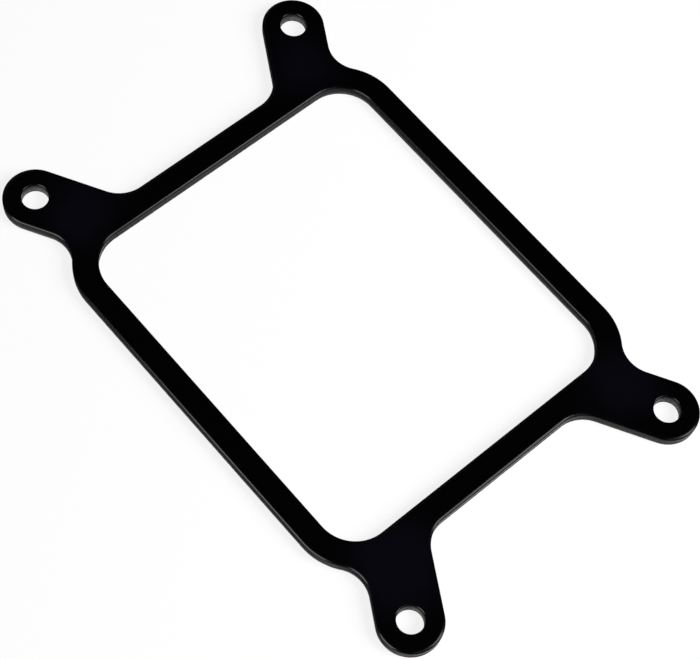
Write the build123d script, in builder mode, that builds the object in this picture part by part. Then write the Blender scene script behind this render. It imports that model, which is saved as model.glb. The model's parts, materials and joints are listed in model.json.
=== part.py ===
"""Water block mounting bracket: one flat steel plate, blanked in a press and coated black.

A rectangular frame surrounds a large opening, and a leaning ear with a screw hole stands out
from each of its corners. The plate lies flat on XY with its underside at Z = 0. The origin is
the centre of the hole pattern, X runs across the plate and Y along it. Millimetres.
"""

import os
from math import cos, radians

from build123d import *

# Screw holes, from centre to centre across and along the plate
hole_spacing_across = 56.0
hole_spacing_along = 94.0
hole_radius = 2.25

# Opening for the block's base
opening_width = 57.2
opening_length = 67.0
opening_corner_radius = 6.6

# Bars of the frame, beside the opening and at its two ends
side_bar_width = 4.25
end_bar_width = 4.45

# Ears: the round end about each hole, the lean away from the long axis, and the two roots
ear_end_radius = 5.4
ear_lean_degrees = 30.6
ear_inner_root_radius = 5.8
ear_outer_root_radius = 5.45

# Section of a blanked edge, from the top face down: roll-over, sheared band, broken zone
plate_thickness = 2.2
roll_over_radius = 0.4
sheared_band_height = 0.75
broken_zone_taper_degrees = 2.5
lower_edge_chamfer = 0.1
hole_rim_chamfer = 0.15

# Sizes that follow from the ones above
frame_width = opening_width + 2 * side_bar_width
frame_length = opening_length + 2 * end_bar_width
frame_corner_radius = opening_corner_radius + side_bar_width
upper_zone_height = roll_over_radius + sheared_band_height
broken_zone_height = plate_thickness - upper_zone_height
ear_rise = (hole_spacing_along - frame_length) / 2 + frame_corner_radius
ear_strip_length = ear_rise / cos(radians(ear_lean_degrees))
break_plane = Plane.XY.offset(broken_zone_height)
first_hole = Location((hole_spacing_across / 2, hole_spacing_along / 2), -ear_lean_degrees)

os.makedirs("parts", exist_ok=True)

with BuildPart() as bracket:
    # The frame's outer block, from the break line up to the top face
    with BuildSketch(break_plane):
        RectangleRounded(frame_width, frame_length, frame_corner_radius)
    extrude(amount=upper_zone_height)

    # An ear is a disc about its hole and a strip that runs back past the frame's bars
    with BuildSketch(break_plane):
        with Locations(first_hole):
            Circle(ear_end_radius)
            Rectangle(2 * ear_end_radius, ear_strip_length, align=(Align.CENTER, Align.MAX))
        mirror(about=Plane.YZ)
        mirror(about=Plane.XZ)
    extrude(amount=upper_zone_height)

    # The roots where the ears meet the frame, the pair between two ears and the pair outside
    roots = bracket.edges(Select.NEW).filter_by(Axis.Z).group_by(lambda e: abs(e.center().X))
    fillet(roots[0], ear_inner_root_radius)
    fillet(roots[-1], ear_outer_root_radius)

    with BuildSketch(break_plane):
        RectangleRounded(opening_width, opening_length, opening_corner_radius)
    extrude(amount=upper_zone_height, mode=Mode.SUBTRACT)

    # Below the sheared band the metal broke away, so every wall draws back towards the underside
    break_face = bracket.faces().sort_by(Axis.Z)[0]
    extrude(break_face, amount=broken_zone_height, taper=broken_zone_taper_degrees)

    # The top edges roll over where the press drew the metal in, and the lower edges are deburred
    fillet(bracket.faces().sort_by(Axis.Z)[-1].edges(), roll_over_radius)
    chamfer(bracket.faces().sort_by(Axis.Z)[0].edges(), lower_edge_chamfer)

    # Screw holes, pierced after the blank, with only a light break on both rims
    with GridLocations(hole_spacing_across, hole_spacing_along, 2, 2):
        Hole(hole_radius)
    chamfer(bracket.edges(Select.LAST).filter_by(GeomType.CIRCLE), hole_rim_chamfer)

bracket.part.label = "bracket"
export_step(bracket.part, "parts/bracket.step")
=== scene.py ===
"""Water block mounting bracket: one steel plate, blanked in a press and coated black.

The plate is swept round its outline with the section of a real blanked edge: a rolled-over
top edge, the smooth sheared band below it and the rough zone where the metal broke away.
Everything is in metres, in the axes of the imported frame.
"""

import json
from math import atan2, ceil, cos, pi, radians, sin, sqrt, tan

import bmesh
import bpy
from bpy.props import (
    FloatProperty,
    FloatVectorProperty,
    IntProperty,
    PointerProperty,
)
from mathutils import Euler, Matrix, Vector


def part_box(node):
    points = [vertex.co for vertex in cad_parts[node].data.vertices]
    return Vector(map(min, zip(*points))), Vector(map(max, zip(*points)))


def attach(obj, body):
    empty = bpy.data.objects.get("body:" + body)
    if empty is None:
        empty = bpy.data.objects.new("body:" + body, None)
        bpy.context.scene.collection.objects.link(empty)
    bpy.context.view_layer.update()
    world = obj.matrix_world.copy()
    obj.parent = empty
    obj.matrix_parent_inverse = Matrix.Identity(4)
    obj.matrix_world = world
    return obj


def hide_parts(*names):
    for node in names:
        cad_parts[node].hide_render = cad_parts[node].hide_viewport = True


bl_info = {
    "name": "Mounting Bracket",
    "version": (1, 0, 0),
    "blender": (4, 5, 0),
    "location": "View3D > Sidebar > Bracket",
    "description": "Builds a blanked and coated mounting bracket on a pale sweep",
    "category": "Object",
}

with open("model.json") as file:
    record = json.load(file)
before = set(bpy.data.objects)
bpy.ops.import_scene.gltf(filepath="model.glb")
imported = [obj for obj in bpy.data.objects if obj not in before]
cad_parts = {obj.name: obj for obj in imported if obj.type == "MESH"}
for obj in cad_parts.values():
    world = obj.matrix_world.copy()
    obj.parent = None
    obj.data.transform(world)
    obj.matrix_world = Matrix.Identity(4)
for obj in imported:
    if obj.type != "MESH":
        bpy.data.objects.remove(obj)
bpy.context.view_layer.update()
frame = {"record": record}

BODY = "root"
CAD_NODE = "bracket"
MM = 0.001

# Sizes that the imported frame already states
bolt_pattern = next(m["dims"] for m in frame["record"]["mounts"] if m["kind"] == "bolt_pattern")
plate_low, plate_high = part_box(CAD_NODE)


def length(name, description, default, **limits):
    """A length property, in metres."""
    return FloatProperty(
        name=name, description=description, default=default, subtype="DISTANCE",
        unit="LENGTH", precision=6, min=0.0, **limits,
    )


def angle(name, description, degrees):
    """An angle property, given in degrees."""
    return FloatProperty(
        name=name, description=description, default=radians(degrees), subtype="ANGLE",
        unit="ROTATION",
    )


def amount(name, description, default, high=1.0):
    """A plain number from zero up to a limit."""
    return FloatProperty(
        name=name, description=description, default=default, min=0.0, max=high, precision=4,
    )


def colour(name, description, default):
    """A linear colour property."""
    return FloatVectorProperty(
        name=name, description=description, default=default, subtype="COLOR", size=3,
        min=0.0, max=1.0,
    )


class BracketPlateSizes(bpy.types.PropertyGroup):
    """Sizes of the plate's outline and of the section of its edges."""

    thickness: length("Thickness", "Plate thickness", plate_high.z - plate_low.z)
    spacing_across: length(
        "Hole spacing across", "Between hole centres across the plate",
        bolt_pattern["spacing_x_mm"] * MM,
    )
    spacing_along: length(
        "Hole spacing along", "Between hole centres along the plate",
        bolt_pattern["spacing_y_mm"] * MM,
    )
    hole_radius: length("Hole radius", "Radius of the screw holes", bolt_pattern["hole_r_mm"] * MM)
    hole_roll_over: length("Hole roll-over", "How far a hole's top rim rolls over", 0.3 * MM)
    hole_foot: length("Hole foot", "Break of a hole's lower rim", 0.03 * MM)
    opening_width: length("Opening width", "Opening for the block, across", 57.2 * MM)
    opening_length: length("Opening length", "Opening for the block, along", 67.0 * MM)
    opening_corner: length("Opening corner", "Corner radius of the opening", 6.6 * MM)
    side_bar: length("Side bar", "Width of the bars beside the opening", 4.25 * MM)
    end_bar: length("End bar", "Width of the bars at the opening's ends", 4.45 * MM)
    ear_end: length("Ear end", "Radius of an ear's round end", 5.4 * MM)
    ear_lean: angle("Ear lean", "Lean of the ears away from the long axis", 30.6)
    ear_inner_root: length("Inner root", "Root radius on the side between two ears", 5.8 * MM)
    ear_outer_root: length("Outer root", "Root radius beside the long bars", 5.45 * MM)
    roll_over: length("Roll-over depth", "How far the top edge rolls down", 0.4 * MM)
    roll_over_reach: length("Roll-over reach", "How far the roll-over reaches inward", 0.72 * MM)
    sheared_band: length("Sheared band", "Height of the smooth band", 0.75 * MM)
    break_taper: angle("Break taper", "Draw of the broken zone", 2.5)
    lower_chamfer: length("Lower edge", "Deburring chamfer of the lower edges", 0.1 * MM)
    column_spacing: length("Column spacing", "Spacing of mesh columns round an edge", 0.22 * MM)
    tear_depth: length("Tear depth", "Depth of the tearing in the broken zone", 0.03 * MM)
    nick_depth: length("Nick depth", "Depth of the few nicks along the lower edge", 0.08 * MM)
    seed: IntProperty(
        name="Seed", description="Seed of the tearing and the nicks", default=7, min=0,
    )


class BracketCoatFinish(bpy.types.PropertyGroup):
    """Colours and texture of the black coat, and the colour of the painted floor light low on its
    walls.
    """

    coat_colour: colour("Coat", "Colour of the coat on smooth metal", (0.0004, 0.0004, 0.0005))
    haze_colour: colour(
        "Haze", "Cooler tone of the coat round the ears' roots", (0.0017, 0.0016, 0.0031),
    )
    torn_colour: colour("Torn metal", "Colour of the coat on torn metal", (0.014, 0.0138, 0.0136))
    # Painted light: a lighter colour low on the walls and in the holes, standing for the bright
    # floor lighting them
    painted_floor_light_colour: colour(
        "Painted floor light", "Painted floor light low on the walls and in the holes",
        (0.155, 0.1525, 0.15),
    )
    specular: amount("Specular", "Strength of the coat's gloss face on", 0.135)
    torn_specular: amount("Torn specular", "Strength of the gloss of torn metal face on", 0.09)
    coat_roughness: amount("Coat roughness", "Roughness of the coat on smooth metal", 0.19)
    torn_roughness: amount("Torn roughness", "Roughness of the coat on torn metal", 0.62)
    peel_size: length("Peel size", "Size of the coat's fine dimples", 0.45 * MM)
    peel_depth: length("Peel depth", "Depth of the coat's fine dimples", 0.0035 * MM)
    grain_size: length("Grain size", "Width of the streaks on torn metal", 0.16 * MM)
    grain_depth: length("Grain depth", "Depth of the streaks on torn metal", 0.03 * MM)


class BracketStageLook(bpy.types.PropertyGroup):
    """Floor, lamps and camera round the bracket."""

    floor_size: length("Floor size", "Side of the square floor", 6.0)
    floor_colour: colour("Floor", "Colour of the pale floor", (0.82, 0.82, 0.82))
    shadow_share: amount("Shadow share", "How much of the shadow the camera sees", 0.22)
    key_radiance: amount("Key lamp", "Brightness of the main soft box", 11.0, 50.0)
    side_radiance: amount("Side lamp", "Brightness of the dim box beside it", 1.4, 50.0)
    left_radiance: amount("Left lamp", "Brightness of the box on the left", 10.5, 50.0)
    glow: amount("Far glow", "Brightness of the dim glow behind the plate", 0.35, 5.0)
    sweep: amount("Sweep", "Brightness of the pale sweep in the gloss", 1.0, 5.0)
    camera_place: FloatVectorProperty(
        name="Camera place", description="Where the camera stands", subtype="TRANSLATION",
        unit="LENGTH", size=3, default=(-0.118956, -0.097514, 0.300547), precision=5,
    )
    camera_turn: FloatVectorProperty(
        name="Camera turn", description="How the camera is turned", subtype="EULER",
        unit="ROTATION", size=3, default=(radians(26.0748), radians(-5.0468), radians(-40.9106)),
    )
    camera_lens: FloatProperty(
        name="Lens", description="Focal length on a 36 mm wide sensor", default=105.53,
        subtype="DISTANCE_CAMERA", unit="CAMERA",
    )


class Signal:
    """One output socket of a node tree; arithmetic on values adds the nodes that work it out."""

    def __init__(self, graph, socket):
        self.graph = graph
        self.socket = socket

    def other(self, name):
        """Another output of the same node."""
        return Signal(self.graph, self.socket.node.outputs[name])

    def __add__(self, value):
        return self.graph.maths("ADD", self, value)

    def __radd__(self, value):
        return self.graph.maths("ADD", value, self)

    def __sub__(self, value):
        return self.graph.maths("SUBTRACT", self, value)

    def __rsub__(self, value):
        return self.graph.maths("SUBTRACT", value, self)

    def __mul__(self, value):
        return self.graph.maths("MULTIPLY", self, value)

    def __rmul__(self, value):
        return self.graph.maths("MULTIPLY", value, self)

    def __neg__(self):
        return self.graph.maths("MULTIPLY", self, -1.0)


class Graph:
    """A node tree being filled in, for a material, the world or Geometry Nodes."""

    def __init__(self, tree):
        self.tree = tree
        tree.nodes.clear()

    def node(self, kind, settings=None, sockets=None, output=0):
        """Adds a node: its settings first, then a value or a link for each of its sockets."""
        made = self.tree.nodes.new(kind)
        for name, value in (settings or {}).items():
            setattr(made, name, value)
        for key, value in (sockets or {}).items():
            for one in value if isinstance(value, list) else [value]:
                if isinstance(one, Signal):
                    self.tree.links.new(one.socket, made.inputs[key])
                else:
                    made.inputs[key].default_value = one
        return Signal(self, made.outputs[output]) if made.outputs else made

    def maths(self, operation, first, second=0.0):
        """A Math node on one or two values."""
        return self.node("ShaderNodeMath", {"operation": operation}, {0: first, 1: second})

    def vector(self, operation, first, second=None, scale=None, output=0):
        """A Vector Math node."""
        sockets = {0: first}
        if second is not None:
            sockets[1] = second
        if scale is not None:
            sockets["Scale"] = scale
        return self.node("ShaderNodeVectorMath", {"operation": operation}, sockets, output)

    def combine(self, x=0.0, y=0.0, z=0.0):
        """A vector from three values."""
        return self.node("ShaderNodeCombineXYZ", sockets={0: x, 1: y, 2: z})

    def split(self, vector):
        """The three values of a vector."""
        x = self.node("ShaderNodeSeparateXYZ", sockets={0: vector})
        return x, x.other("Y"), x.other("Z")

    def ramp(self, value, start, end):
        """A smooth step from zero at start to one at end."""
        settings = {"interpolation_type": "SMOOTHSTEP"}
        sockets = {0: value, 1: start, 2: end, 3: 0.0, 4: 1.0}
        return self.node("ShaderNodeMapRange", settings, sockets)

    def mix(self, factor, first, second):
        """A value that goes from first to second."""
        return self.node("ShaderNodeMix", {"data_type": "FLOAT"}, {0: factor, 2: first, 3: second})

    def mix_colour(self, factor, first, second):
        """A colour that goes from first to second."""
        sockets = {0: factor, 6: first, 7: second}
        return self.node("ShaderNodeMix", {"data_type": "RGBA"}, sockets, output=2)

    def noise(self, place, scale, detail=2.0, roughness=0.5, seed=0.0):
        """Noise from zero to one, with about scale features to the metre."""
        settings = {"noise_dimensions": "4D"}
        sockets = {
            "Vector": place, "W": seed, "Scale": scale, "Detail": detail, "Roughness": roughness,
        }
        return self.node("ShaderNodeTexNoise", settings, sockets)


def opaque(rgb):
    """A colour property as the four numbers that a colour socket takes."""
    return (*rgb, 1.0)


# The outline

MOST_TURN = radians(45)  # the most that one piece of a Bezier curve turns
SAME_PLACE = 1e-7
CURVE_STEPS = 32


def plate_arcs(sizes):
    """One quarter of the outline, counter-clockwise: each arc's centre, radius and two angles."""
    half_width = sizes.opening_width / 2 + sizes.side_bar
    half_length = sizes.opening_length / 2 + sizes.end_bar
    corner_radius = sizes.opening_corner + sizes.side_bar
    corner = Vector((half_width - corner_radius, half_length - corner_radius))
    hole = Vector((sizes.spacing_across, sizes.spacing_along)) / 2
    lean = sizes.ear_lean
    out = Vector((sin(lean), cos(lean)))
    side = Vector((cos(lean), -sin(lean)))

    # The outer root touches the ear's outer side and the frame's corner
    reach = sizes.ear_end + sizes.ear_outer_root
    start = hole + side * reach - corner
    span = corner_radius + sizes.ear_outer_root
    back = start.dot(out) - sqrt(start.dot(out) ** 2 - start.dot(start) + span**2)
    if not 0 < back < sizes.spacing_along:
        raise ValueError("the ear's outer root doesn't meet the frame's corner")
    outer_root = hole + side * reach - out * back
    touch = outer_root - corner
    touch_angle = atan2(touch.y, touch.x)

    # The inner root touches the ear's inner side and the end bar
    reach = sizes.ear_end + sizes.ear_inner_root
    root_y = half_length + sizes.ear_inner_root
    inner_root = Vector((hole.x - (reach + side.y * (root_y - hole.y)) / side.x, root_y))

    return [
        (corner, corner_radius, 0.0, touch_angle),
        (outer_root, sizes.ear_outer_root, touch_angle + pi, pi - lean),
        (hole, sizes.ear_end, -lean, pi - lean),
        (inner_root, sizes.ear_inner_root, -lean, -pi / 2),
    ]


def opening_arcs(sizes):
    """The one arc of a quarter of the opening."""
    radius = sizes.opening_corner
    centre = Vector((sizes.opening_width / 2 - radius, sizes.opening_length / 2 - radius))
    return [(centre, radius, 0.0, pi / 2)]


def whole_loop(quarter):
    """All arcs of a loop that is its own mirror image across X and across Y."""
    loop = []
    for flip_x, flip_y in ((1, 1), (-1, 1), (-1, -1), (1, -1)):
        turned = []
        for centre, radius, start, end in quarter:
            angles = [
                atan2(flip_y * sin(a), flip_x * cos(a)) for a in (start, (start + end) / 2, end)
            ]
            turned.append((Vector((centre.x * flip_x, centre.y * flip_y)), radius, angles))
        if flip_x * flip_y < 0:
            turned = [(centre, radius, angles[::-1]) for centre, radius, angles in turned[::-1]]
        loop += turned
    return loop


def bezier_knots(loop):
    """Knots of a closed curve through the arcs, as place, left handle and right handle."""
    knots = []
    for centre, radius, (start, middle, end) in loop:
        sweep = 2 * ((middle - start + pi) % (2 * pi) - pi)
        pieces = ceil(abs(sweep) / MOST_TURN)
        handle = 4 / 3 * tan(sweep / pieces / 4) * radius
        for i in range(pieces + 1):
            turn = start + sweep * i / pieces
            place = centre + radius * Vector((cos(turn), sin(turn)))
            along = handle * Vector((-sin(turn), cos(turn)))
            knots.append([place, place - along, place + along])
            # Where an arc runs straight into the next one they share a knot
            if len(knots) > 1 and i == 0 and (knots[-2][0] - place).length < SAME_PLACE:
                last = knots.pop()
                knots[-1][2] = last[2]
            elif i == 0:
                knots[-1][1] = None
        knots[-1][2] = None
    for knot, following in zip(knots, knots[1:] + knots[:1]):
        if following[1] is None:
            step = (following[0] - knot[0]) / 3
            knot[2], following[1] = knot[0] + step, following[0] - step
    return knots


def add_loop(curve, knots):
    """Adds a closed spline to the curve."""
    spline = curve.splines.new("BEZIER")
    spline.bezier_points.add(len(knots) - 1)
    spline.use_cyclic_u = True
    for point, (place, left, right) in zip(spline.bezier_points, knots):
        point.handle_left_type = point.handle_right_type = "FREE"
        point.co = (*place, 0.0)
        point.handle_left = (*left, 0.0)
        point.handle_right = (*right, 0.0)


def outline_curve(sizes):
    """The outline and the opening, each with the metal on its left."""
    curve = bpy.data.curves.new("plate_outline", "CURVE")
    curve.dimensions = "3D"
    curve.resolution_u = CURVE_STEPS
    add_loop(curve, bezier_knots(whole_loop(plate_arcs(sizes))))
    opening = bezier_knots(whole_loop(opening_arcs(sizes)))
    add_loop(curve, [(place, right, left) for place, left, right in opening[::-1]])
    return curve


# The plate's Geometry Nodes

LENGTH_INPUTS = (
    ("Thickness", "thickness"),
    ("Roll-over Depth", "roll_over"),
    ("Roll-over Reach", "roll_over_reach"),
    ("Sheared Band", "sheared_band"),
    ("Lower Chamfer", "lower_chamfer"),
    ("Hole Radius", "hole_radius"),
    ("Hole Roll-over", "hole_roll_over"),
    ("Hole Foot", "hole_foot"),
    ("Spacing Across", "spacing_across"),
    ("Spacing Along", "spacing_along"),
    ("Column Spacing", "column_spacing"),
    ("Tear Depth", "tear_depth"),
    ("Nick Depth", "nick_depth"),
)
SUPPORT = 0.12 * MM  # the flat row beside a bend, which keeps the face flat up to it
WELD = 0.002 * MM
ROLL_ROWS, BAND_ROWS, BREAK_ROWS = 11, 5, 10
HOLE_ROLL_ROWS, HOLE_WALL_ROWS, HOLE_COLUMNS = 8, 16, 96
SHARP_BEND = radians(28)

# The tearing: scales are features to the metre, limits are those of the noise
WAVER_SCALE, WAVER = 260.0, 0.35 * MM
BREAK_BLEND = 0.1 * MM
FOOT_BLEND = 0.05 * MM
TEAR_SCALE, TEAR_LIMITS = 1500.0, (0.3, 0.8)
TEAR_LEAN, TEAR_STRETCH = 0.5, 0.6
NICK_SCALE, NICK_LIMITS = 420.0, (0.68, 0.78)
NICK_TOP, NICK_FULL, NICK_FOOT = 0.55 * MM, 0.1 * MM, 0.02 * MM
NICK_SEED_STEP = 11.0


class ShapeGraph(Graph):
    """A Geometry Nodes tree, with the few steps that the plate is made of."""

    def section_line(self, start, end, rows=2):
        """A stretch of the section, each end as its inset from the outline and its height."""
        ends = [self.combine(-inset, -height) for inset, height in (start, end)]
        line = self.node("GeometryNodeCurvePrimitiveLine", sockets={0: ends[0], 1: ends[1]})
        return self.node("GeometryNodeResampleCurve", sockets={"Curve": line, "Count": rows})

    def section_roll(self, width, depth, thickness, rows):
        """A quarter of an ellipse from the top face down to the wall."""
        quarter = {"Resolution": rows, "Radius": 1.0}
        quarter.update({"Start Angle": radians(-90), "Sweep Angle": radians(90)})
        sockets = {
            "Geometry": self.node("GeometryNodeCurveArc", {"mode": "RADIUS"}, quarter),
            "Translation": self.combine(-width, depth - thickness),
            "Scale": self.combine(width, depth, 1.0),
        }
        return self.node("GeometryNodeTransform", sockets=sockets)

    def joined(self, parts):
        """All the parts as one geometry."""
        return self.node("GeometryNodeJoinGeometry", sockets={0: list(parts)})

    def moved(self, geometry, offset):
        """The geometry with each point moved by its own offset."""
        sockets = {"Geometry": geometry, "Offset": offset}
        return self.node("GeometryNodeSetPosition", sockets=sockets)

    def marked(self, geometry, name, value, data_type="FLOAT", domain="POINT"):
        """The geometry with a named attribute on it."""
        settings = {"data_type": data_type, "domain": domain}
        sockets = {"Geometry": geometry, "Name": name, "Value": value}
        return self.node("GeometryNodeStoreNamedAttribute", settings, sockets)

    def faced(self, curve, pierced):
        """The loop with its outward direction, and whether it is a pierced hole."""
        turned = self.node("GeometryNodeSetCurveNormal", {"mode": "Z_UP"}, {"Curve": curve})
        normal = self.node("GeometryNodeInputNormal")
        turned = self.marked(turned, "outward", normal, "FLOAT_VECTOR")
        return self.marked(turned, "pierced", pierced)

    def swept(self, loops, section):
        """The section swept round the loops."""
        sockets = {"Curve": loops, "Profile Curve": section}
        return self.node("GeometryNodeCurveToMesh", sockets=sockets)

    def cap(self, insets, height):
        """A flat face between the innermost rows of all the loops, given with their insets."""
        normal = self.node("GeometryNodeInputNormal")
        rings = [
            self.moved(loops, self.vector("SCALE", normal, scale=-inset))
            for loops, inset in insets
        ]
        filled = self.node("GeometryNodeFillCurve", sockets={"Curve": self.joined(rings)})
        return self.moved(filled, self.combine(z=height))


def add_sockets(tree):
    """Gives the tree its named inputs and its one output."""
    kinds = [(name, "NodeSocketFloat", "DISTANCE") for name, _ in LENGTH_INPUTS]
    kinds.append(("Break Taper", "NodeSocketFloat", "ANGLE"))
    kinds += [("Seed", "NodeSocketInt", None), ("Coat", "NodeSocketMaterial", None)]
    face = tree.interface
    face.new_socket(name="Plate", in_out="OUTPUT", socket_type="NodeSocketGeometry")
    face.new_socket(name="Outline", in_out="INPUT", socket_type="NodeSocketGeometry")
    for name, kind, subtype in kinds:
        socket = face.new_socket(name=name, in_out="INPUT", socket_type=kind)
        if subtype:
            socket.subtype = subtype


def edge_loops(graph, given):
    """The outline and the opening, cut into even columns."""
    sockets = {"Curve": given.other("Outline"), "Length": given.other("Column Spacing")}
    edges = graph.node("GeometryNodeResampleCurve", {"mode": "LENGTH"}, sockets)
    return graph.faced(edges, 0.0)


def hole_loops(graph, given):
    """The four screw holes, on the corners of a grid, which run the other way round."""
    sockets = {"Resolution": HOLE_COLUMNS, "Radius": given.other("Hole Radius")}
    circle = graph.node("GeometryNodeCurvePrimitiveCircle", sockets=sockets)
    sockets = {
        "Size X": given.other("Spacing Across"), "Size Y": given.other("Spacing Along"),
        "Vertices X": 2, "Vertices Y": 2,
    }
    corners = graph.node("GeometryNodeMeshGrid", sockets=sockets)
    reverse = graph.node("GeometryNodeReverseCurve", sockets={"Curve": circle})
    sockets = {"Points": corners, "Instance": reverse}
    holes = graph.node("GeometryNodeInstanceOnPoints", sockets=sockets)
    holes = graph.node("GeometryNodeRealizeInstances", sockets={"Geometry": holes})
    return graph.faced(holes, 1.0)


def torn_walls(graph, given, plate, break_height):
    """Tears and nicks the walls below a wavering line, and marks where they are torn."""
    place = graph.node("GeometryNodeInputPosition")
    x, y, height = graph.split(place)
    seed = given.other("Seed")
    line = break_height + (graph.noise(place, WAVER_SCALE, seed=seed) - 0.5) * WAVER
    torn = graph.ramp(height, line, line - BREAK_BLEND) * graph.ramp(height, 0.0, FOOT_BLEND)
    plate = graph.marked(plate, "torn", torn)

    lean = height * TEAR_LEAN
    leaning = graph.combine(x + lean, y + lean, height * TEAR_STRETCH)
    streak = graph.noise(leaning, TEAR_SCALE, roughness=0.6, seed=seed)
    tearing = torn * graph.ramp(streak, *TEAR_LIMITS) * given.other("Tear Depth")
    low = graph.ramp(height, NICK_TOP, NICK_FULL) * graph.ramp(height, 0.0, NICK_FOOT)
    spots = graph.noise(place, NICK_SCALE, detail=1.0, roughness=0.4, seed=seed + NICK_SEED_STEP)
    nicks = low * graph.ramp(spots, *NICK_LIMITS) * given.other("Nick Depth")

    outward = graph.node(
        "GeometryNodeInputNamedAttribute", {"data_type": "FLOAT_VECTOR"}, {"Name": "outward"}
    )
    plate = graph.moved(plate, graph.vector("SCALE", outward, scale=-(tearing + nicks)))
    sockets = {"Geometry": plate, "Name": "outward"}
    return graph.node("GeometryNodeRemoveAttribute", sockets=sockets)


def plate_tree():
    """The tree that sweeps the blanked section round the outline and closes both faces."""
    tree = bpy.data.node_groups.new("Blanked plate", "GeometryNodeTree")
    add_sockets(tree)
    graph = ShapeGraph(tree)
    given = graph.node("NodeGroupInput")
    thickness, roll_over = given.other("Thickness"), given.other("Roll-over Depth")
    reach, chamfer = given.other("Roll-over Reach"), given.other("Lower Chamfer")
    hole_roll, foot = given.other("Hole Roll-over"), given.other("Hole Foot")

    # Where the smooth band ends, and how far the lower part has drawn back below it
    break_height = thickness - roll_over - given.other("Sheared Band")
    draw = graph.maths("TANGENT", given.other("Break Taper"))
    wall_foot = (break_height - chamfer) * draw
    lower_inset = break_height * draw + chamfer

    edge_section = graph.joined([
        graph.section_line((reach + SUPPORT, thickness), (reach, thickness)),
        graph.section_roll(reach, roll_over, thickness, ROLL_ROWS),
        graph.section_line((0.0, thickness - roll_over), (0.0, break_height), BAND_ROWS),
        graph.section_line((0.0, break_height), (wall_foot, chamfer), BREAK_ROWS),
        graph.section_line((wall_foot, chamfer), (lower_inset, 0.0)),
        graph.section_line((lower_inset, 0.0), (lower_inset + SUPPORT, 0.0)),
    ])
    hole_section = graph.joined([
        graph.section_line((hole_roll + SUPPORT, thickness), (hole_roll, thickness)),
        graph.section_roll(hole_roll, hole_roll, thickness, HOLE_ROLL_ROWS),
        graph.section_line((0.0, thickness - hole_roll), (0.0, foot), HOLE_WALL_ROWS),
        graph.section_line((0.0, foot), (foot, 0.0)),
        graph.section_line((foot, 0.0), (foot + SUPPORT, 0.0)),
    ])

    edges, holes = edge_loops(graph, given), hole_loops(graph, given)
    top = graph.cap(((edges, reach + SUPPORT), (holes, hole_roll + SUPPORT)), thickness)
    underside = graph.cap(((edges, lower_inset + SUPPORT), (holes, foot + SUPPORT)), 0.0)
    underside = graph.node("GeometryNodeFlipFaces", sockets={"Mesh": underside})
    walls = [graph.swept(edges, edge_section), graph.swept(holes, hole_section)]
    plate = graph.joined([*walls, top, underside])
    sockets = {"Geometry": plate, "Distance": WELD}
    plate = graph.node("GeometryNodeMergeByDistance", sockets=sockets)
    plate = torn_walls(graph, given, plate, break_height)

    plate = graph.node("GeometryNodeSetShadeSmooth", sockets={"Geometry": plate})
    bend = graph.node("GeometryNodeInputMeshEdgeAngle")
    sharp = graph.maths("GREATER_THAN", bend, SHARP_BEND)
    plate = graph.marked(plate, "sharp_edge", sharp, "BOOLEAN", "EDGE")
    plate = graph.node("GeometryNodeRealizeInstances", sockets={"Geometry": plate})
    sockets = {"Geometry": plate, "Material": given.other("Coat")}
    plate = graph.node("GeometryNodeSetMaterial", sockets=sockets)
    graph.node("NodeGroupOutput", sockets={"Plate": plate})
    return tree


def plain_mesh(curve, tree, values, name):
    """Runs the tree on the curve and gives back its result as a plain mesh."""
    source = bpy.data.objects.new(name + "_outline", curve)
    bpy.context.scene.collection.objects.link(source)
    modifier = source.modifiers.new("Blanking", "NODES")
    modifier.node_group = tree
    for item in tree.interface.items_tree:
        if item.in_out == "INPUT" and item.name in values:
            modifier[item.identifier] = values[item.name]
    evaluated = source.evaluated_get(bpy.context.evaluated_depsgraph_get())
    mesh = bpy.data.meshes.new_from_object(evaluated)
    mesh.name = name
    bpy.data.objects.remove(source)
    bpy.data.curves.remove(curve)
    return mesh


def check_closed(mesh):
    """Raises an error unless the mesh is one closed skin that faces outward."""
    bm = bmesh.new()
    bm.from_mesh(mesh)
    open_edges = sum(not edge.is_manifold for edge in bm.edges)
    volume = bm.calc_volume(signed=True)
    bm.free()
    if open_edges or volume <= 0:
        raise RuntimeError(f"the plate has {open_edges} open edges and a volume of {volume:.3g}")


# The coat

SPECKS_TO_A_DIMPLE = 6.0
SPECK_DEPTH = 0.12  # as a share of the dimples' depth
SPECK_DULLING, STREAK_DULLING = 0.12, 0.3  # how far they change the roughness
STREAK_LEAN, STREAK_STRETCH = 0.55, 0.45
BLOTCHES_TO_A_STREAK = 0.22
STREAK_SHARE, BLOTCH_SHARE = 0.65, 0.35
TONE_LIMITS = (0.3, 0.72)
DARK_TONE, LIGHT_TONE = 0.35, 1.6  # the darkest and lightest streaks, as shares of a colour
HOLE_RIM, HOLE_DEEP = 2.05 * MM, 0.1 * MM  # heights between which a hole's wall gets the painted floor light
HOLE_DULLNESS = 0.7
# Painted light: the height where the torn walls begin to get the painted floor light, and how much
# of it they get
WALL_FLOOR_LIGHT_FROM, WALL_FLOOR_LIGHT_SHARE = 1.0 * MM, 0.38
HAZE_CENTRE = (24.3 * MM, 39.8 * MM, 0.0)  # beside the root of an ear
HAZE_EDGE, HAZE_CORE = 10.0 * MM, 2.0 * MM
HAZE_SCALE, HAZE_WANDER = 70.0, 14.0 * MM


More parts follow.
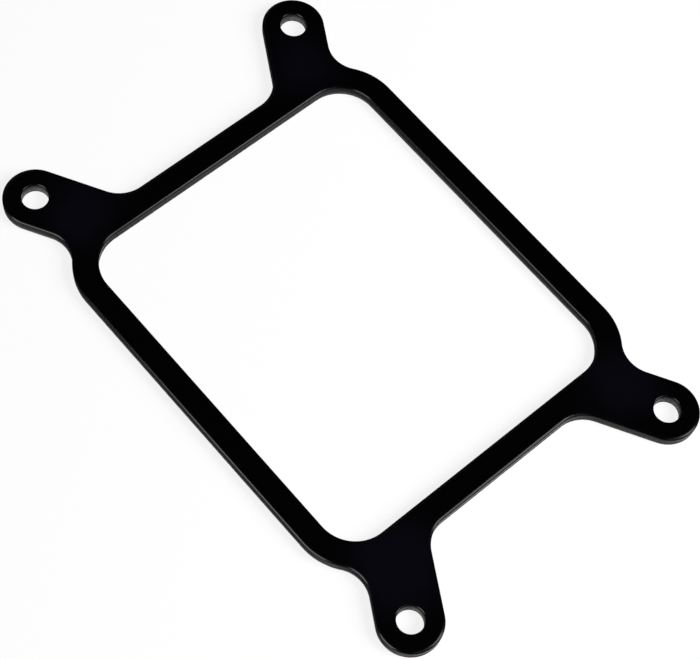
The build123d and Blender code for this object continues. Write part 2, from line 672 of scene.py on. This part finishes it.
def coat_material(finish):
    """Black coat: dimpled and glossy on smooth metal, dull and streaked on torn metal, with
    painted floor light low on the walls and in the holes.
    """
    material = bpy.data.materials.new("black_coat")
    material.use_nodes = True
    graph = Graph(material.node_tree)
    place = graph.node("ShaderNodeTexCoord").other("Object")
    x, y, z = graph.split(place)
    torn, pierced = (
        graph.node("ShaderNodeAttribute", {"attribute_name": name}).other("Fac")
        for name in ("torn", "pierced")
    )
    hole_wall = pierced * graph.ramp(z, HOLE_RIM, HOLE_DEEP) * graph.ramp(z, 0.0, FOOT_BLEND)

    peel = graph.noise(place, 1 / finish.peel_size, roughness=0.45, seed=3.0)
    speck = graph.noise(place, SPECKS_TO_A_DIMPLE / finish.peel_size, roughness=0.6, seed=5.0)
    lean = z * STREAK_LEAN
    leaning = graph.combine(x + lean, y + lean, z * STREAK_STRETCH)
    streak = graph.noise(leaning, 1 / finish.grain_size, detail=3.0, roughness=0.62, seed=9.0)
    blotch = graph.noise(leaning, BLOTCHES_TO_A_STREAK / finish.grain_size, seed=13.0)
    tone = graph.ramp(streak * STREAK_SHARE + blotch * BLOTCH_SHARE, *TONE_LIMITS)

    # The haze lies at the root of each of the four ears
    folded = graph.vector("ABSOLUTE", graph.combine(x, y))
    from_root = graph.vector("DISTANCE", folded, HAZE_CENTRE, output="Value")
    wander = (graph.noise(place, HAZE_SCALE, seed=1.0) - 0.5) * HAZE_WANDER
    haze = graph.ramp(from_root + wander, HAZE_EDGE, HAZE_CORE)

    def uneven(colour_at):
        """A colour that goes darker and lighter with the streaks."""
        dark, light = (opaque([share * c for c in colour_at]) for share in (DARK_TONE, LIGHT_TONE))
        return graph.mix_colour(tone, dark, light)

    base = graph.mix_colour(haze, opaque(finish.coat_colour), opaque(finish.haze_colour))
    base = graph.mix_colour(torn, base, uneven(finish.torn_colour))
    # Painted light: the lower walls and the hole walls get a lighter colour that stands for the
    # bright floor lighting them
    low_wall = torn * graph.ramp(z, WALL_FLOOR_LIGHT_FROM, 0.0) * WALL_FLOOR_LIGHT_SHARE
    painted_floor_light = graph.maths("MAXIMUM", low_wall, hole_wall)
    base = graph.mix_colour(painted_floor_light, base, uneven(finish.painted_floor_light_colour))

    dull = graph.maths("MAXIMUM", torn, hole_wall * HOLE_DULLNESS)
    smooth_roughness = finish.coat_roughness + (speck - 0.5) * SPECK_DULLING
    torn_roughness = finish.torn_roughness + (streak - 0.5) * STREAK_DULLING
    roughness = graph.mix(dull, smooth_roughness, torn_roughness)

    dimples = peel * finish.peel_depth + speck * (finish.peel_depth * SPECK_DEPTH)
    bumps = graph.mix(dull, dimples, streak * finish.grain_depth)
    sockets = {"Strength": 1.0, "Distance": 1.0, "Height": bumps}
    normal = graph.node("ShaderNodeBump", sockets=sockets)

    # Torn metal has its own gloss level, so the two finishes are two shaders
    sockets = {"Base Color": base, "Roughness": roughness, "Normal": normal}
    smooth, rough = (
        graph.node("ShaderNodeBsdfPrincipled", sockets={**sockets, "Specular IOR Level": level})
        for level in (finish.specular, finish.torn_specular)
    )
    shader = graph.node("ShaderNodeMixShader", sockets={0: dull, 1: smooth, 2: rough})
    graph.node("ShaderNodeOutputMaterial", sockets={"Surface": shader})
    return material


# The stage

FLOOR_WHITE, BACKDROP_WHITE = 1.1, 1.03  # what the camera sees, where 1 is white
STUDIO_DIM = 0.01
FLOOR_DROP = 0.02 * MM
SENSOR_WIDTH = 36.0
CLIP_NEAR, CLIP_FAR = 0.01, 20.0


def toward(azimuth, elevation):
    """The direction from the plate at an azimuth and elevation in degrees."""
    a, e = radians(azimuth), radians(elevation)
    return Vector((cos(e) * cos(a), cos(e) * sin(a), sin(e)))


def soft_box(name, radiance, azimuth, elevation, distance, width, height):
    """A rectangular lamp that faces the plate and looks as bright as radiance."""
    lamp = bpy.data.lights.new(name, "AREA")
    lamp.shape = "RECTANGLE"
    lamp.size, lamp.size_y = width, height
    lamp.energy = radiance * pi * width * height
    box = bpy.data.objects.new(name, lamp)
    box.location = toward(azimuth, elevation) * distance
    box.rotation_euler = toward(azimuth, elevation).to_track_quat("Z", "Y").to_euler()
    box.visible_camera = False
    bpy.context.scene.collection.objects.link(box)
    return box


def keep_off(lamp, thing):
    """Keeps a lamp's light off one object, as a flag on a stand does."""
    group = bpy.data.collections.new(lamp.name + "_flag")
    group.objects.link(thing)
    group.collection_objects[0].light_linking.link_state = "EXCLUDE"
    lamp.light_linking.receiver_collection = group


def rays(graph):
    """Whether a ray comes from the camera, and whether it comes off gloss or through glass."""
    path = graph.node("ShaderNodeLightPath")
    glossy, through = path.other("Is Glossy Ray"), path.other("Is Transmission Ray")
    return path.other("Is Camera Ray"), graph.maths("MAXIMUM", glossy, through)


def floor_material(look):
    """A pale floor that the camera and the gloss see as white, with the plate's shadow on it."""
    material = bpy.data.materials.new("pale_floor")
    material.use_nodes = True
    graph = Graph(material.node_tree)
    seen, mirrored = rays(graph)
    shown = graph.maths("MAXIMUM", seen, mirrored)
    tone = graph.mix_colour(shown, opaque(look.floor_colour), opaque((1.0, 1.0, 1.0)))
    matt = graph.node("ShaderNodeBsdfDiffuse", sockets={"Color": tone})
    white = graph.node("ShaderNodeEmission", sockets={"Strength": FLOOR_WHITE})
    lift = seen * (1.0 - look.shadow_share)
    surface = graph.node("ShaderNodeMixShader", sockets={0: lift, 1: matt, 2: white})
    below = graph.node("ShaderNodeNewGeometry").other("Backfacing")
    clear = graph.node("ShaderNodeBsdfTransparent")
    surface = graph.node("ShaderNodeMixShader", sockets={0: below, 1: surface, 2: clear})
    graph.node("ShaderNodeOutputMaterial", sockets={"Surface": surface})
    return material


def studio_world(look):
    """A white surround for the camera, and a dark studio with a few soft glows for the gloss."""
    world = bpy.data.worlds.new("studio")
    world.use_nodes = True
    graph = Graph(world.node_tree)
    direction = graph.node("ShaderNodeTexCoord").other("Generated")

    def near(azimuth, elevation, inner, outer):
        """One within an angle of a direction, falling to zero at a wider one."""
        aim = tuple(toward(azimuth, elevation))
        likeness = graph.vector("DOT_PRODUCT", direction, aim, output="Value")
        return graph.ramp(likeness, cos(radians(outer)), cos(radians(inner)))

    seen, mirrored = rays(graph)
    sweep = near(azimuth=180, elevation=2, inner=12, outer=34) * look.sweep
    glow = near(azimuth=75, elevation=38, inner=3, outer=22) * look.glow
    studio = STUDIO_DIM + glow + mirrored * sweep
    strength = graph.mix(seen, studio, BACKDROP_WHITE)
    background = graph.node("ShaderNodeBackground", sockets={"Strength": strength})
    graph.node("ShaderNodeOutputWorld", sockets={"Surface": background})
    return world


def pale_floor(look):
    """A square floor just under the plate."""
    half = look.floor_size / 2
    corners = ((-half, -half), (half, -half), (half, half), (-half, half))
    bm = bmesh.new()
    bm.faces.new([bm.verts.new((x, y, -FLOOR_DROP)) for x, y in corners])
    mesh = bpy.data.meshes.new("pale_floor")
    bm.to_mesh(mesh)
    bm.free()
    mesh.materials.append(floor_material(look))
    floor = bpy.data.objects.new("pale_floor", mesh)
    bpy.context.scene.collection.objects.link(floor)
    return floor


def photo_camera(look):
    """The camera, where it stood for the photograph."""
    data = bpy.data.cameras.new("camera")
    data.sensor_width = SENSOR_WIDTH
    data.lens = look.camera_lens
    data.clip_start, data.clip_end = CLIP_NEAR, CLIP_FAR
    camera = bpy.data.objects.new("camera", data)
    camera.location = look.camera_place
    camera.rotation_euler = Euler(look.camera_turn)
    bpy.context.scene.collection.objects.link(camera)
    bpy.context.scene.camera = camera


# Operators, panel and registration


class BRACKET_OT_plate(bpy.types.Operator):
    """Blanks, pierces and coats the plate"""

    bl_idname = "bracket.plate"
    bl_label = "Make Plate"

    def execute(self, context):
        sizes = context.scene.bracket_sizes
        coat = coat_material(context.scene.bracket_finish)
        values = {name: getattr(sizes, key) for name, key in LENGTH_INPUTS}
        values.update({"Break Taper": sizes.break_taper, "Seed": sizes.seed, "Coat": coat})
        mesh = plain_mesh(outline_curve(sizes), plate_tree(), values, "bracket_plate")
        check_closed(mesh)
        plate = bpy.data.objects.new("bracket_plate", mesh)
        context.scene.collection.objects.link(plate)
        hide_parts(CAD_NODE)
        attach(plate, BODY)
        return {"FINISHED"}


class BRACKET_OT_stage(bpy.types.Operator):
    """Lays the pale floor and sets the lamps, the surround and the camera"""

    bl_idname = "bracket.stage"
    bl_label = "Set Stage"

    def execute(self, context):
        scene = context.scene
        look = scene.bracket_stage
        floor = pale_floor(look)
        soft_box(
            "key_box", look.key_radiance,
            azimuth=302, elevation=38, distance=0.65, width=0.27, height=0.44,
        )
        soft_box(
            "side_box", look.side_radiance,
            azimuth=266, elevation=36, distance=0.7, width=0.36, height=0.42,
        )
        left_box = soft_box(
            "left_box", look.left_radiance,
            azimuth=180, elevation=23.5, distance=0.48, width=0.33, height=0.39,
        )
        # The walls on the left mirror the floor beside them, which is dark in the photograph
        keep_off(left_box, floor)
        scene.world = studio_world(look)
        photo_camera(look)
        scene.view_settings.view_transform = "Standard"
        return {"FINISHED"}


class BRACKET_PT_panel(bpy.types.Panel):
    """Lists the steps that build the bracket and its stage"""

    bl_label = "Mounting Bracket"
    bl_idname = "BRACKET_PT_panel"
    bl_space_type = "VIEW_3D"
    bl_region_type = "UI"
    bl_category = "Bracket"

    def draw(self, context):
        for operator, group in STEPS:
            box = self.layout.box()
            box.operator(operator.bl_idname)
            for key, settings in group:
                for name in settings.__annotations__:
                    box.prop(getattr(context.scene, key), name)


STEPS = (
    (
        BRACKET_OT_plate,
        (("bracket_sizes", BracketPlateSizes), ("bracket_finish", BracketCoatFinish)),
    ),
    (BRACKET_OT_stage, (("bracket_stage", BracketStageLook),)),
)


def register():
    """Registers the settings, the operators and the panel."""
    for operator, group in STEPS:
        bpy.utils.register_class(operator)
        for key, settings in group:
            bpy.utils.register_class(settings)
            setattr(bpy.types.Scene, key, PointerProperty(type=settings))
    bpy.utils.register_class(BRACKET_PT_panel)


def unregister():
    """Takes them out again."""
    bpy.utils.unregister_class(BRACKET_PT_panel)
    for operator, group in reversed(STEPS):
        for key, settings in group:
            delattr(bpy.types.Scene, key)
            bpy.utils.unregister_class(settings)
        bpy.utils.unregister_class(operator)


def main():
    """Builds the bracket on its stage."""
    register()
    bpy.ops.bracket.plate()
    bpy.ops.bracket.stage()


if __name__ == "__main__":
    main()
